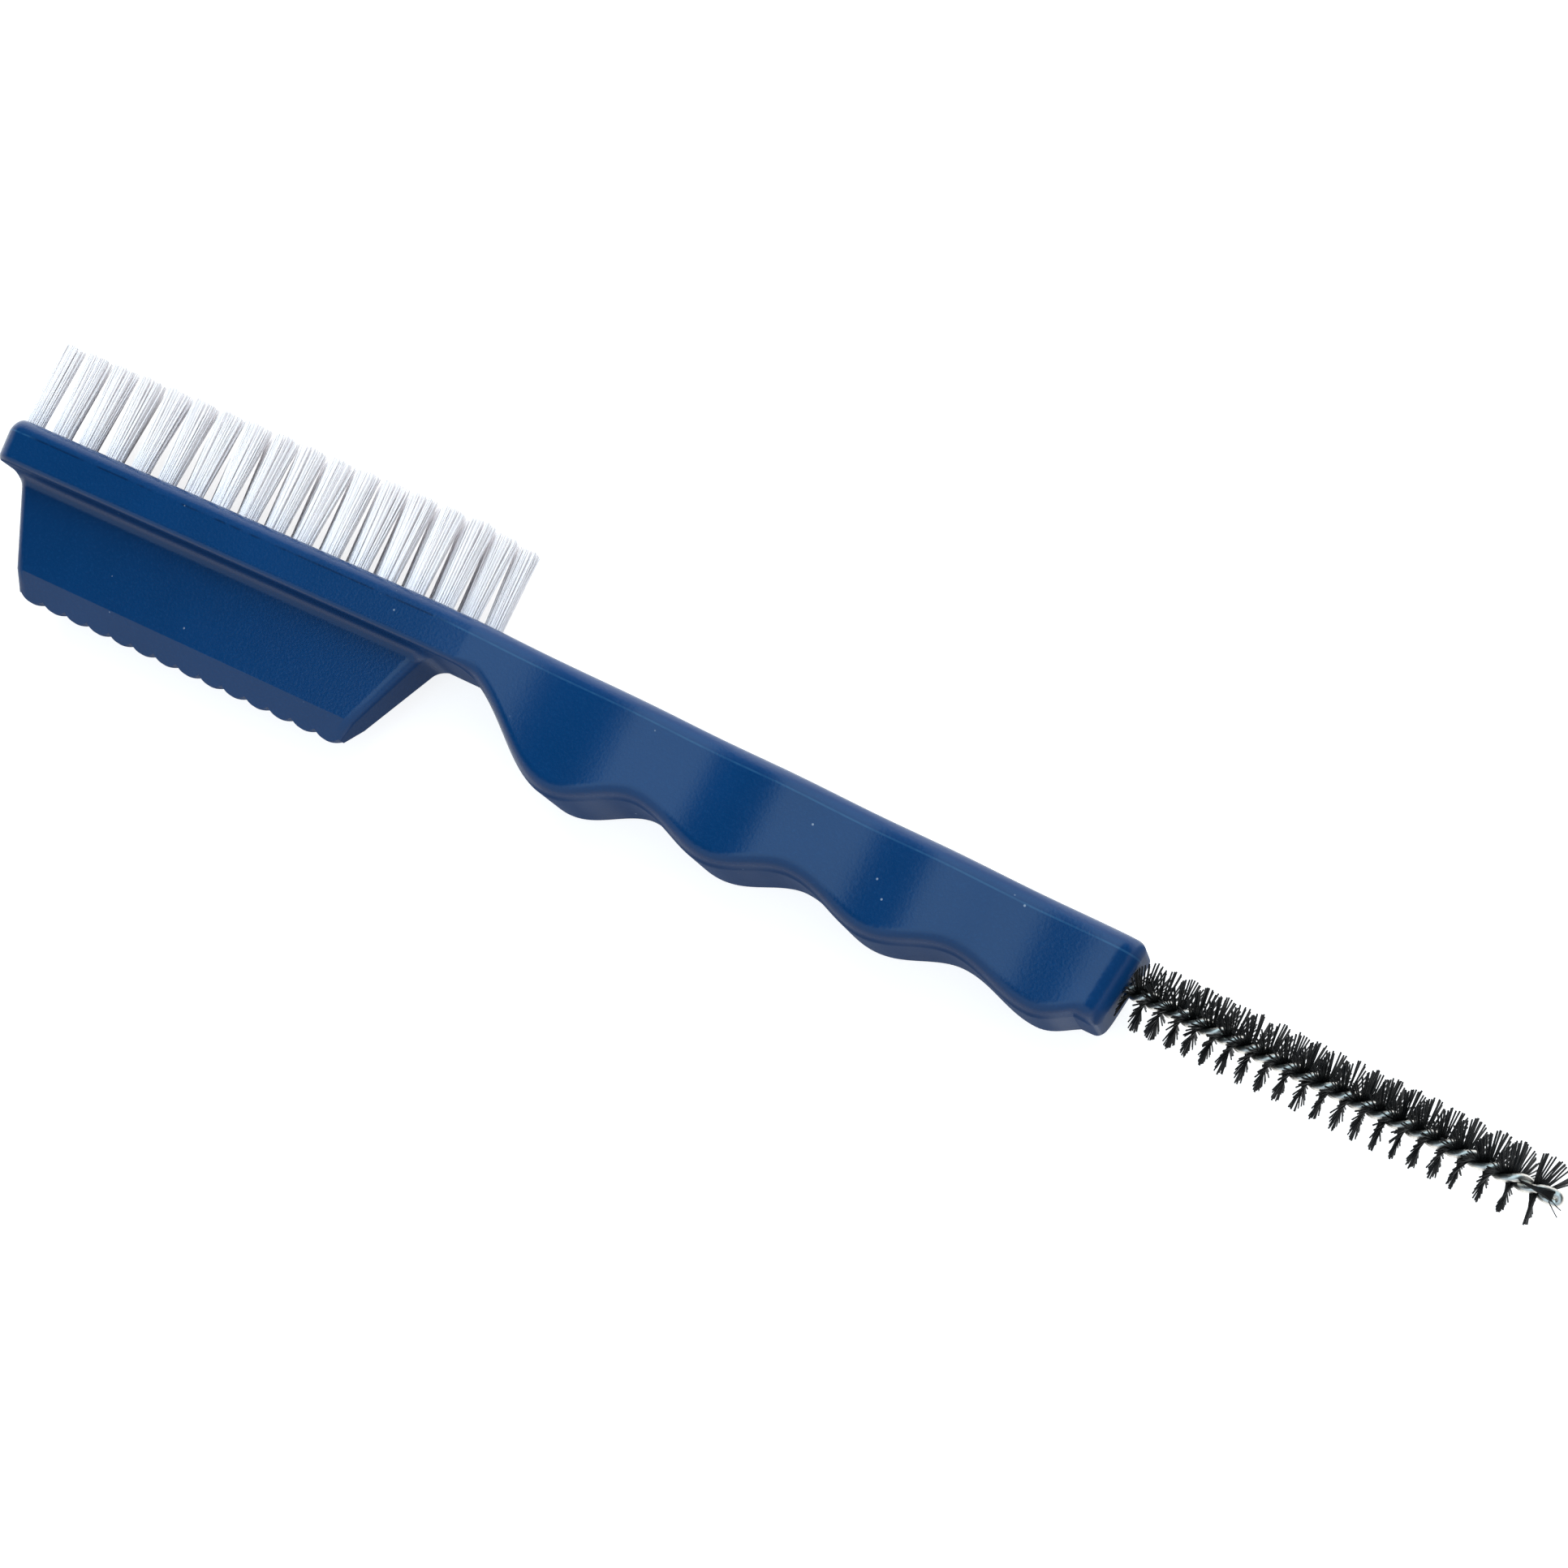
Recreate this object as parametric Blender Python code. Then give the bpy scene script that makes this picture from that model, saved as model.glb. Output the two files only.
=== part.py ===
# Ski wax brush: a moulded grip with a scraper blade, a tufted head and a twisted wire brush.
# It lies on its side: X runs from the head to the wire brush, Y towards the white bristles, Z up.
# Lengths are in metres.
import math
import random

import bmesh
import bpy
from mathutils import Matrix, Vector

# Moulded body
BODY_THICKNESS = 0.0150
HEAD_LENGTH = 0.0730
HEAD_HEIGHT = 0.0063
HEAD_TILT = math.radians(1.85)
HEAD_END_RADIUS = 0.0030
HEAD_END_DROP = 0.0020
HEAD_END_RAKE = math.radians(6)
HEAD_LOW_RADIUS = 0.0008
TOP_EDGE_RADIUS = 0.0020
GRIP_LENGTH = 0.0985
GRIP_DEPTH = 0.0165
GRIP_LOW_RADIUS = 0.0020
GRIP_END_RADIUS = 0.0024
GRIP_END_RAKE = math.radians(6)
NECK_REACH = 0.0030
FIRST_LOBE = 0.0225
FINGER_PITCH = 0.0224
SIDE_SCOOP = 0.0011
# How much of its corner radii the body loses over its rounded ends
END_SHRINK_SHARE = 0.5

# Depths along the grip, as shares of the grip's depth at its first lobe
LOBE_DEPTH_SHARES = (1.0, 0.923, 0.887, 0.850)
VALLEY_DEPTH_SHARES = (0.752, 0.722, 0.703)
END_DEPTH_SHARE = 0.655

# Scraper blade under the head
BLADE_TOP_WIDTH = 0.0669
BLADE_EDGE_WIDTH = 0.0526
BLADE_CENTRE = 0.0358
BLADE_HEIGHT = 0.0159
BLADE_TOP_THICKNESS = 0.0082
BLADE_BEVEL_THICKNESS = 0.0052
BLADE_EDGE_THICKNESS = 0.0008
BEVEL_HEIGHT = 0.0034
COVE_RADIUS = 0.0018
BLADE_CORNER_RADIUS = 0.0009
SCALLOP_COUNT = 14
SCALLOP_DEPTH = 0.0007

# White tufts, in slanted columns of three
TUFT_COLUMNS = 16
TUFT_PITCH = 0.00449
TUFT_ROW_GAP = 0.0033
TUFT_MARGIN = 0.0020
TUFT_HOLE = 0.0025
TUFT_HOLE_DEPTH = 0.0042
BRISTLE_LENGTH = 0.0125
TUFT_SPREAD = 0.00040
TUFT_HEART = 0.00032
TIP_STEP = 0.00018
STRANDS_PER_TUFT = 5
ROW_NAMES = ("front", "middle", "back")

# Twisted wire brush at the end of the grip
AXIS_DROP = 0.0053
STEM_WIRE = 0.00075
STEM_WIDTH = 0.00215
STEM_REACH = 0.0555
STEM_SEAT = 0.0140
TWIST_PITCH = 0.0048
TWIST_START = 0.0004
TWIST_TURN = math.radians(90)
SPIRAL_DIAMETER = 0.0090
SPIRAL_WEB = 0.00015
SPIRAL_WEB_WIDTH = 0.0019
SPIRAL_STRAND = 0.00022
SPIRAL_TIP_WIDTH = 0.00028
SPIRAL_FILAMENTS = 118
SPIRAL_SWAY = math.radians(3.0)

# Fits and steps
FIT_GAP = 0.0003
CUT_OVERRUN = 0.0020
CORNER_STEPS = 3
END_STEPS = 4
STATIONS_PER_FINGER = 11
HOLE_SIDES = 2 * STRANDS_PER_TUFT
BORE_SIDES = 16
SCALLOP_STEPS = 4
POINTS_PER_TWIST = 9
NOSE_STEPS = 5
SHARP_ANGLE = math.radians(40)
# Stretches of wire closer than this many diameters along it aren't measured against each other
NEAR_SHARE = 4
MM_PER_METRE = 1000

RANDOM = random.Random(7)


def clear_scene():
    for item in list(bpy.data.objects):
        bpy.data.objects.remove(item, do_unlink=True)


def make_material(name, colour, roughness, metallic=0.0):
    material = bpy.data.materials.new(name)
    material.use_nodes = True
    shader = material.node_tree.nodes["Principled BSDF"]
    shader.inputs["Base Color"].default_value = (*colour, 1.0)
    shader.inputs["Roughness"].default_value = roughness
    shader.inputs["Metallic"].default_value = metallic
    return material


def add_object(name, mesh, material, parent, location=(0, 0, 0)):
    item = bpy.data.objects.new(name, mesh)
    bpy.context.scene.collection.objects.link(item)
    if material:
        mesh.materials.append(material)
    item.parent = parent
    item.location = location
    return item


def add_empty(name, parent, location=(0, 0, 0), turn=0.0):
    item = bpy.data.objects.new(name, None)
    bpy.context.scene.collection.objects.link(item)
    item.parent = parent
    item.location = location
    item.rotation_euler = (0, 0, turn)
    return item


def finish_mesh(build, name):
    bmesh.ops.recalc_face_normals(build, faces=build.faces)
    mesh = bpy.data.meshes.new(name)
    build.to_mesh(mesh)
    build.free()
    mesh.shade_smooth()
    mesh.set_sharp_from_angle(angle=SHARP_ANGLE)
    return mesh


def loft(rings, name):
    # Joins closed rings of equal count with quads and caps both ends
    build = bmesh.new()
    rows = [[build.verts.new(point) for point in ring] for ring in rings]
    for low, high in zip(rows, rows[1:]):
        for i in range(len(low)):
            k = (i + 1) % len(low)
            build.faces.new((low[i], low[k], high[k], high[i]))
    build.faces.new(rows[0])
    build.faces.new(rows[-1])
    return finish_mesh(build, name)


def prism(outline, start, end, name):
    # An outline in X and Y, extruded along Z
    return loft([[(x, y, start) for x, y in outline], [(x, y, end) for x, y in outline]], name)


def arc_shares(steps):
    return [math.radians(90) * i / steps for i in range(steps + 1)]


def ease(share):
    return (1 - math.cos(math.pi * share)) / 2


def grip_stops():
    # Places and depths along the underside of the grip: the lobes and the valleys between them
    stops = [(NECK_REACH, HEAD_HEIGHT)]
    for i, share in enumerate(LOBE_DEPTH_SHARES):
        place = FIRST_LOBE + i * FINGER_PITCH
        stops.append((place, GRIP_DEPTH * share))
        if i < len(VALLEY_DEPTH_SHARES):
            stops.append((place + FINGER_PITCH / 2, GRIP_DEPTH * VALLEY_DEPTH_SHARES[i]))
    return stops


def grip_depth(place):
    # Distance from the top of the grip to its underside
    stops = grip_stops()
    if place <= stops[0][0]:
        return stops[0][1]
    for (low, depth_low), (high, depth_high) in zip(stops, stops[1:]):
        if place <= high:
            return depth_low + (depth_high - depth_low) * ease((place - low) / (high - low))
    last, depth_last = stops[-1]
    rise = (place - last) / (GRIP_LENGTH - last)
    return depth_last + (GRIP_DEPTH * END_DEPTH_SHARE - depth_last) * math.sin(rise * math.pi / 2) ** 2


def grip_scoop(place):
    # How far the lower edge of each side is drawn in between the finger lobes
    if place < FIRST_LOBE:
        return SIDE_SCOOP * math.sin(math.pi * place / FIRST_LOBE) ** 2
    return SIDE_SCOOP * math.sin(math.pi * (place - FIRST_LOBE) / FINGER_PITCH) ** 2


def rake(place, height):
    # The grip's end face leans out at its top, so the grip is sheared after its last lobe
    last = FIRST_LOBE + FINGER_PITCH * (len(LOBE_DEPTH_SHARES) - 1)
    blend = ease(max(0, place - last) / (GRIP_LENGTH - last))
    return place + blend * math.tan(GRIP_END_RAKE) * (height + AXIS_DROP)


def body_section(depth, scoop, low_radius, inset=0, drop=0, inset_limit=1):
    # Rounded section as (height, side) pairs, from the lower right corner round to the lower left one.
    # Over a rounded end it is drawn in by the inset at its sides and by the drop at its top and underside
    half = BODY_THICKNESS / 2 - inset
    keep = 1 - END_SHRINK_SHARE * inset / inset_limit
    top_radius = TOP_EDGE_RADIUS * keep
    low = low_radius * keep
    half_low = half - scoop
    right = []
    for angle in reversed(arc_shares(CORNER_STEPS)):
        height = -depth + drop + low - low * math.sin(angle)
        right.append((height, half_low - low + low * math.cos(angle)))
    for angle in arc_shares(CORNER_STEPS):
        height = -drop - top_radius + top_radius * math.sin(angle)
        right.append((height, half - top_radius + top_radius * math.cos(angle)))
    left = [(height, -side) for height, side in reversed(right)]
    return right + left


def head_point(along, height, side):
    # From the head's own axes to those of the grip
    cosine, sine = math.cos(HEAD_TILT), math.sin(HEAD_TILT)
    return (along * cosine - height * sine, along * sine + height * cosine, side)


def body_rings():
    rings = []
    for angle in arc_shares(END_STEPS):
        inset = HEAD_END_RADIUS * (1 - math.sin(angle))
        along = -HEAD_LENGTH + HEAD_END_RADIUS * (1 - math.cos(angle))
        drop = inset * HEAD_END_DROP / HEAD_END_RADIUS
        section = body_section(HEAD_HEIGHT, 0, HEAD_LOW_RADIUS, inset, drop, HEAD_END_RADIUS)
        lean = math.tan(HEAD_END_RAKE)
        rings.append([head_point(along - height * lean, height, side) for height, side in section])
    section = body_section(HEAD_HEIGHT, 0, HEAD_LOW_RADIUS)
    rings.append([head_point(-NECK_REACH, height, side) for height, side in section])
    step = FINGER_PITCH / STATIONS_PER_FINGER
    last = GRIP_LENGTH - GRIP_END_RADIUS
    count = round((last - NECK_REACH) / step)
    places = [NECK_REACH + (last - NECK_REACH) * i / count for i in range(count + 1)]
    for place in places:
        blend = min(1, (place - NECK_REACH) / NECK_REACH)
        low_radius = HEAD_LOW_RADIUS + (GRIP_LOW_RADIUS - HEAD_LOW_RADIUS) * blend
        section = body_section(grip_depth(place), grip_scoop(place), low_radius)
        rings.append([(rake(place, height), height, side) for height, side in section])
    for angle in reversed(arc_shares(END_STEPS)[:-1]):
        inset = GRIP_END_RADIUS * (1 - math.sin(angle))
        place = GRIP_LENGTH - GRIP_END_RADIUS * (1 - math.cos(angle))
        depth, scoop = grip_depth(place), grip_scoop(place)
        section = body_section(depth, scoop, GRIP_LOW_RADIUS, inset, inset, GRIP_END_RADIUS)
        rings.append([(rake(place, height), height, side) for height, side in section])
    return rings


def blade_level(height, flare):
    # One outline of the blade across the head, at a height under the head's top
    drop = -HEAD_HEIGHT - height
    share = min(1, max(0, drop / BLADE_HEIGHT))
    half_width = (BLADE_TOP_WIDTH + (BLADE_EDGE_WIDTH - BLADE_TOP_WIDTH) * share) / 2 + flare
    bevel_start = BLADE_HEIGHT - BEVEL_HEIGHT
    if drop <= bevel_start:
        part = max(0, drop / bevel_start)
        thickness = BLADE_TOP_THICKNESS + (BLADE_BEVEL_THICKNESS - BLADE_TOP_THICKNESS) * part
    else:
        part = (drop - bevel_start) / BEVEL_HEIGHT
        thickness = BLADE_BEVEL_THICKNESS + (BLADE_EDGE_THICKNESS - BLADE_BEVEL_THICKNESS) * part
    half_thick = thickness / 2 + flare
    radius = min(BLADE_CORNER_RADIUS, half_thick / 2) + flare / 2
    ring = []
    for quarter, (sign_along, sign_side) in enumerate(((1, 1), (-1, 1), (-1, -1), (1, -1))):
        angles = arc_shares(CORNER_STEPS)
        if quarter % 2:
            angles = list(reversed(angles))
        for angle in angles:
            along = sign_along * (half_width - radius + radius * math.cos(angle))
            side = sign_side * (half_thick - radius + radius * math.sin(angle))
            ring.append(head_point(along - BLADE_CENTRE, height, side))
    return ring


def blade_rings():
    rings = [blade_level(-HEAD_HEIGHT + CUT_OVERRUN, COVE_RADIUS)]
    for angle in arc_shares(END_STEPS):
        flare = COVE_RADIUS * (1 - math.sin(angle))
        rings.append(blade_level(-HEAD_HEIGHT - COVE_RADIUS * (1 - math.cos(angle)), flare))
    rings.append(blade_level(-HEAD_HEIGHT - BLADE_HEIGHT + BEVEL_HEIGHT, 0))
    rings.append(blade_level(-HEAD_HEIGHT - BLADE_HEIGHT, 0))
    return rings


def scallop_outline():
    # The waste under the blade's wavy edge
    width = BLADE_EDGE_WIDTH + 2 * CUT_OVERRUN
    pitch = BLADE_EDGE_WIDTH / SCALLOP_COUNT
    edge = -HEAD_HEIGHT - BLADE_HEIGHT
    points = [(-BLADE_CENTRE - width / 2, edge - CUT_OVERRUN)]
    points.append((-BLADE_CENTRE - width / 2, edge + SCALLOP_DEPTH))
    for i in range(SCALLOP_COUNT * SCALLOP_STEPS + 1):
        place = i / SCALLOP_STEPS
        bump = abs(math.sin(math.pi * place))
        along = -BLADE_CENTRE - BLADE_EDGE_WIDTH / 2 + pitch * place
        points.append((along, edge + SCALLOP_DEPTH * (1 - bump)))
    points.append((-BLADE_CENTRE + width / 2, edge + SCALLOP_DEPTH))
    points.append((-BLADE_CENTRE + width / 2, edge - CUT_OVERRUN))
    return points


def tuft_places():
    # Each column leans: its middle tuft stands half a pitch on, its back tuft a whole pitch on
    for row, name in enumerate(ROW_NAMES):
        side = TUFT_ROW_GAP * (1 - row)
        for column in range(TUFT_COLUMNS):
            along = -HEAD_LENGTH + TUFT_MARGIN + TUFT_PITCH * (column + row / 2)
            yield f"tuft_{name}_{column + 1:02d}", along, side


def circle(radius, sides, turn=0.0):
    steps = [turn + 2 * math.pi * i / sides for i in range(sides)]
    return [(radius * math.cos(angle), radius * math.sin(angle)) for angle in steps]


def hole_mesh():
    # All the tuft holes as one cutter, each a separate closed prism along Y
    build = bmesh.new()
    ring = circle(TUFT_HOLE / 2, HOLE_SIDES)
    for _, along, side in tuft_places():
        rows = []
        for height in (-TUFT_HOLE_DEPTH, CUT_OVERRUN):
            rows.append([build.verts.new((along + x, height, side + z)) for x, z in ring])
        for i in range(HOLE_SIDES):
            k = (i + 1) % HOLE_SIDES
            build.faces.new((rows[0][i], rows[0][k], rows[1][k], rows[1][i]))
        build.faces.new(rows[0])
        build.faces.new(rows[1])
    return finish_mesh(build, "tuft_holes")


def tuft_mesh(name):
    # A root that fills its hole, with every second face of its upper rim drawn up into a strand
    build = bmesh.new()
    root = TUFT_HOLE / 2 - FIT_GAP
    turn = RANDOM.uniform(0, math.pi)
    foot = [build.verts.new((x, -TUFT_HOLE_DEPTH + FIT_GAP, z)) for x, z in circle(root, HOLE_SIDES, turn)]
    rim = [build.verts.new((x, 0, z)) for x, z in circle(root, HOLE_SIDES, turn)]
    heart = [build.verts.new((x, 0, z)) for x, z in circle(TUFT_HEART, HOLE_SIDES, turn)]
    build.faces.new(foot)
    build.faces.new(heart)
    strands = []
    for i in range(HOLE_SIDES):
        k = (i + 1) % HOLE_SIDES
        build.faces.new((foot[i], foot[k], rim[k], rim[i]))
        face = build.faces.new((rim[i], rim[k], heart[k], heart[i]))
        if i % 2 == 0:
            strands.append(face)
    for face in strands:
        centre = face.calc_center_median()
        outward = Vector((centre.x, 0, centre.z)).normalized()
        lean = outward * (TUFT_SPREAD + RANDOM.uniform(-TIP_STEP, TIP_STEP) / 2)
        lift = BRISTLE_LENGTH + RANDOM.uniform(-TIP_STEP, 0)
        made = bmesh.ops.extrude_discrete_faces(build, faces=[face])["faces"][0]
        for vert in made.verts:
            vert.co += lean + Vector((0, lift, 0))
    return finish_mesh(build, name)


def twist_angle(place):
    # The legs turn about the stem's axis, left-handed, and start and stop turning gently
    ramp = TWIST_PITCH / 2
    start, end = TWIST_START, STEM_REACH - STEM_WIDTH
    place = min(max(place, start), end)
    run = place - start
    turned = run - ramp / 2 if run > ramp else run * run / (2 * ramp)
    left = end - place
    if left < ramp:
        turned -= (ramp - left) ** 2 / (2 * ramp)
    return TWIST_TURN - 2 * math.pi * turned / TWIST_PITCH


def stem_points():
    # One wire, folded at the tip: out along one leg, round the nose and back along the other
    radius = (STEM_WIDTH - STEM_WIRE) / 2
    start, end = TWIST_START, STEM_REACH - STEM_WIDTH
    count = round((end - start) / TWIST_PITCH * POINTS_PER_TWIST)
    places = [start + (end - start) * i / count for i in range(count + 1)]
    nose = STEM_REACH - STEM_WIRE / 2 - radius
    forward = [-STEM_SEAT + FIT_GAP, *places]
    leg = []
    for place in forward:
        angle = twist_angle(place)
        leg.append(Vector((place, radius * math.cos(angle), radius * math.sin(angle))))
    other = [Vector((point.x, -point.y, -point.z)) for point in leg]
    across = Vector((0, leg[-1].y, leg[-1].z))
    bend = []
    for i in range(NOSE_STEPS + 1):
        angle = math.pi * i / NOSE_STEPS
        bend.append(Vector((nose + radius * math.sin(angle), 0, 0)) + across * math.cos(angle))
    return leg + bend + list(reversed(other))


def print_least_gap(points, diameter, name):
    # The least clear distance between stretches of the wire that aren't neighbours
    reach = [0]
    for low, high in zip(points, points[1:]):
        reach.append(reach[-1] + (high - low).length)
    least = None
    for i, low in enumerate(points):
        for k in range(i + 1, len(points)):
            if reach[k] - reach[i] > NEAR_SHARE * diameter:
                gap = (points[k] - low).length - diameter
                least = gap if least is None else min(least, gap)
    print(f"{name}: least gap to itself {least * MM_PER_METRE:.2f} mm")


def stem_object(material, parent, location):
    curve = bpy.data.curves.new("stem_wire", "CURVE")
    curve.dimensions = "3D"
    curve.bevel_depth = STEM_WIRE / 2
    curve.bevel_resolution = 1
    curve.use_fill_caps = True
    points = stem_points()
    print_least_gap(points, STEM_WIRE, "stem_wire")
    spline = curve.splines.new("POLY")
    spline.points.add(len(points) - 1)
    for slot, point in zip(spline.points, points):
        slot.co = (*point, 1)
    return add_object("stem_wire", curve, material, parent, location)


def spiral_mesh():
    # A thin web between the two legs, with each filament drawn out of both of its edges
    build = bmesh.new()
    first = FIT_GAP + math.tan(GRIP_END_RAKE) * SPIRAL_DIAMETER / 2
    last = STEM_REACH - STEM_WIDTH - STEM_WIRE
    step = (last - first) / SPIRAL_FILAMENTS
    rings = []
    for i in range(SPIRAL_FILAMENTS):
        middle = first + step * i + step / 2
        for place in (middle - SPIRAL_STRAND / 2, middle + SPIRAL_STRAND / 2):
            angle = twist_angle(place) + math.pi / 2
            across = Vector((0, math.cos(angle), math.sin(angle))) * SPIRAL_WEB_WIDTH / 2
            thick = Vector((0, -math.sin(angle), math.cos(angle))) * SPIRAL_WEB / 2
            centre = Vector((place, 0, 0))
            corners = (across + thick, across - thick, -across - thick, -across + thick)
            rings.append([build.verts.new(centre + corner) for corner in corners])
    build.faces.new(rings[0])
    build.faces.new(rings[-1])
    roots = []
    for index, (low, high) in enumerate(zip(rings, rings[1:])):
        for i in range(len(low)):
            k = (i + 1) % len(low)
            face = build.faces.new((low[i], low[k], high[k], high[i]))
            if index % 2 == 0 and i % 2 == 0:
                roots.append(face)
    for face in roots:
        centre = face.calc_center_median()
        outward = Vector((0, centre.y, centre.z)).normalized()
        sway = Matrix.Rotation(RANDOM.uniform(-SPIRAL_SWAY, SPIRAL_SWAY), 3, "X")
        tip = Vector((centre.x, 0, 0)) + sway @ outward * SPIRAL_DIAMETER / 2
        width = (face.verts[0].co - centre).length
        grow = SPIRAL_TIP_WIDTH / (2 * width)
        made = bmesh.ops.extrude_discrete_faces(build, faces=[face])["faces"][0]
        for vert in made.verts:
            vert.co = tip + (vert.co - centre) * grow
    return finish_mesh(build, "spiral_bristles")


def make_cutter(name, mesh, parent, location=(0, 0, 0)):
    cutter = add_object(name, mesh, None, parent, location)
    cutter.hide_render = True
    cutter.display_type = "WIRE"
    return cutter


def add_boolean(item, cutter, operation):
    modifier = item.modifiers.new(cutter.name, "BOOLEAN")
    modifier.operation = operation
    modifier.solver = "EXACT"
    modifier.object = cutter


def bore_mesh():
    radius = STEM_WIDTH / 2 + FIT_GAP
    rings = []
    for place in (-STEM_SEAT, CUT_OVERRUN):
        rings.append([(place, y, z) for y, z in circle(radius, BORE_SIDES)])
    return loft(rings, "stem_bore")


def make_handle(frame, head, axis, material):
    handle = add_object("handle", loft(body_rings(), "handle"), material, frame)
    blade = make_cutter("blade_shape", loft(blade_rings(), "blade_shape"), frame)
    waste = prism(scallop_outline(), -BODY_THICKNESS, BODY_THICKNESS, "scallop_waste")
    scallops = make_cutter("scallop_waste", waste, head)
    holes = make_cutter("tuft_holes", hole_mesh(), head)
    bore = make_cutter("stem_bore", bore_mesh(), frame, axis)
    add_boolean(handle, blade, "UNION")
    for cutter in (scallops, holes, bore):
        add_boolean(handle, cutter, "DIFFERENCE")


def main():
    clear_scene()
    blue = make_material("handle_plastic", (0.010, 0.075, 0.215), 0.42)
    white = make_material("white_nylon", (0.80, 0.83, 0.88), 0.45)
    black = make_material("black_nylon", (0.012, 0.012, 0.013), 0.40)
    steel = make_material("galvanised_wire", (0.72, 0.72, 0.70), 0.28, 1.0)

    # The origin is the middle of the flat back of the head
    flat_height = -(TOP_EDGE_RADIUS + HEAD_HEIGHT - HEAD_LOW_RADIUS) / 2
    middle = head_point(-HEAD_LENGTH / 2, flat_height, -BODY_THICKNESS / 2)
    frame = add_empty("brush_frame", None, [-value for value in middle])
    head = add_empty("head_frame", frame, turn=HEAD_TILT)

    axis = (GRIP_LENGTH, -AXIS_DROP, 0)
    make_handle(frame, head, axis, blue)
    for name, along, side in tuft_places():
        add_object(name, tuft_mesh(name), white, head, (along, 0, side))
    stem_object(steel, frame, axis)
    add_object("spiral_bristles", spiral_mesh(), black, frame, axis)


main()
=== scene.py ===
import math
import random

import bmesh
import bpy
from mathutils import Matrix, Vector


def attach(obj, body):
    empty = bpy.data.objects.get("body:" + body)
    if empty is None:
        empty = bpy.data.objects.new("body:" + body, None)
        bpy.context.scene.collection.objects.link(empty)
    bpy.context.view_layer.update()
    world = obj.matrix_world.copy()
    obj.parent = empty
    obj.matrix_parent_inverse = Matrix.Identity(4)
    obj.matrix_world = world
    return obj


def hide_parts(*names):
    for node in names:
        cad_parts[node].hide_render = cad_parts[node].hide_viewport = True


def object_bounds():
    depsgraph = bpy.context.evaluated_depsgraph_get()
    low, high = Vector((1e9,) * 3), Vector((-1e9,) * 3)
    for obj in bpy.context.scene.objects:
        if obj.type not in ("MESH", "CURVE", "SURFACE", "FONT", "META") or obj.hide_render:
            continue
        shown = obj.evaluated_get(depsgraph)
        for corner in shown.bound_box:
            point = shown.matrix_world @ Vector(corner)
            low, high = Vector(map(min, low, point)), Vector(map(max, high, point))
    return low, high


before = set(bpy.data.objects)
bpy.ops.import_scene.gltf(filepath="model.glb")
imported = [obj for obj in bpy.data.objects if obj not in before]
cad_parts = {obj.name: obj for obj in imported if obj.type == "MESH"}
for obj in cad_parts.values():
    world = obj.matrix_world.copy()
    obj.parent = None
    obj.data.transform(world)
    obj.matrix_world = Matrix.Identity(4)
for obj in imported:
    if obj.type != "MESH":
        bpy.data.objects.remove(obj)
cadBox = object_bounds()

print("frame loaded:", len(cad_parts), "nodes")

# The point where the head's top line meets the grip's top line. X runs to the wire brush, Y to the
# white bristles
joint = Vector((0.03636, 0.00493, 0.0075))
headTilt = math.radians(1.85)


# Small helpers for work by hand in edit mode

def startPiece(name):
    # Everything is let go first, because the frame's nodes come in selected
    if bpy.context.object and bpy.context.object.mode != "OBJECT":
        bpy.ops.object.mode_set(mode="OBJECT")
    bpy.ops.object.select_all(action="DESELECT")
    print("making", name)


def named(name):
    piece = bpy.context.object
    piece.name = name
    piece.data.name = name
    return piece


def pickOnly(piece):
    bpy.ops.object.select_all(action="DESELECT")
    piece.select_set(True)
    bpy.context.view_layer.objects.active = piece


def editing(piece):
    pickOnly(piece)
    bpy.ops.object.mode_set(mode="EDIT")
    bpy.context.tool_settings.mesh_select_mode = (True, False, False)


def pickPoints(test):
    # Selects the points of the mesh in edit mode whose place passes the test
    mesh = bmesh.from_edit_mesh(bpy.context.object.data)
    for point in mesh.verts:
        point.select_set(False)
    for point in mesh.verts:
        if test(point.co):
            point.select_set(True)
    mesh.select_flush(True)


def slide(x, y, z):
    bpy.ops.transform.translate(value=(x, y, z))


def scaleBy(x, y, z, centre):
    bpy.ops.transform.resize(value=(x, y, z), center_override=centre)


def drawOn(x, y, z):
    bpy.ops.mesh.extrude_region_move(TRANSFORM_OT_translate={"value": (x, y, z)})


def placeInMesh(piece):
    pickOnly(piece)
    bpy.ops.object.transform_apply(location=True, rotation=True, scale=True)


def finishModifier(piece, kind, **settings):
    pickOnly(piece)
    modifier = piece.modifiers.new(kind.lower(), kind)
    for key, value in settings.items():
        setattr(modifier, key, value)
    bpy.ops.object.modifier_apply(modifier=modifier.name)


def carve(piece, tool, operation, **more):
    finishModifier(piece, "BOOLEAN", operation=operation, solver="EXACT", object=tool, **more)
    bpy.data.objects.remove(tool, do_unlink=True)


def dropInScene(name, data):
    piece = bpy.data.objects.new(name, data)
    bpy.context.scene.collection.objects.link(piece)
    return piece


def markShade(mesh, shades):
    # A number from 0 to 1 at each point, which the finish of the filaments reads
    mark = mesh.attributes.new("strandShade", "FLOAT", "POINT")
    mark.data.foreach_set("value", shades)


def joinAll(items, name):
    bpy.ops.object.select_all(action="DESELECT")
    for item in items:
        item.select_set(True)
    bpy.context.view_layer.objects.active = items[0]
    bpy.ops.object.join()
    return named(name)


# Shader expressions

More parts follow.
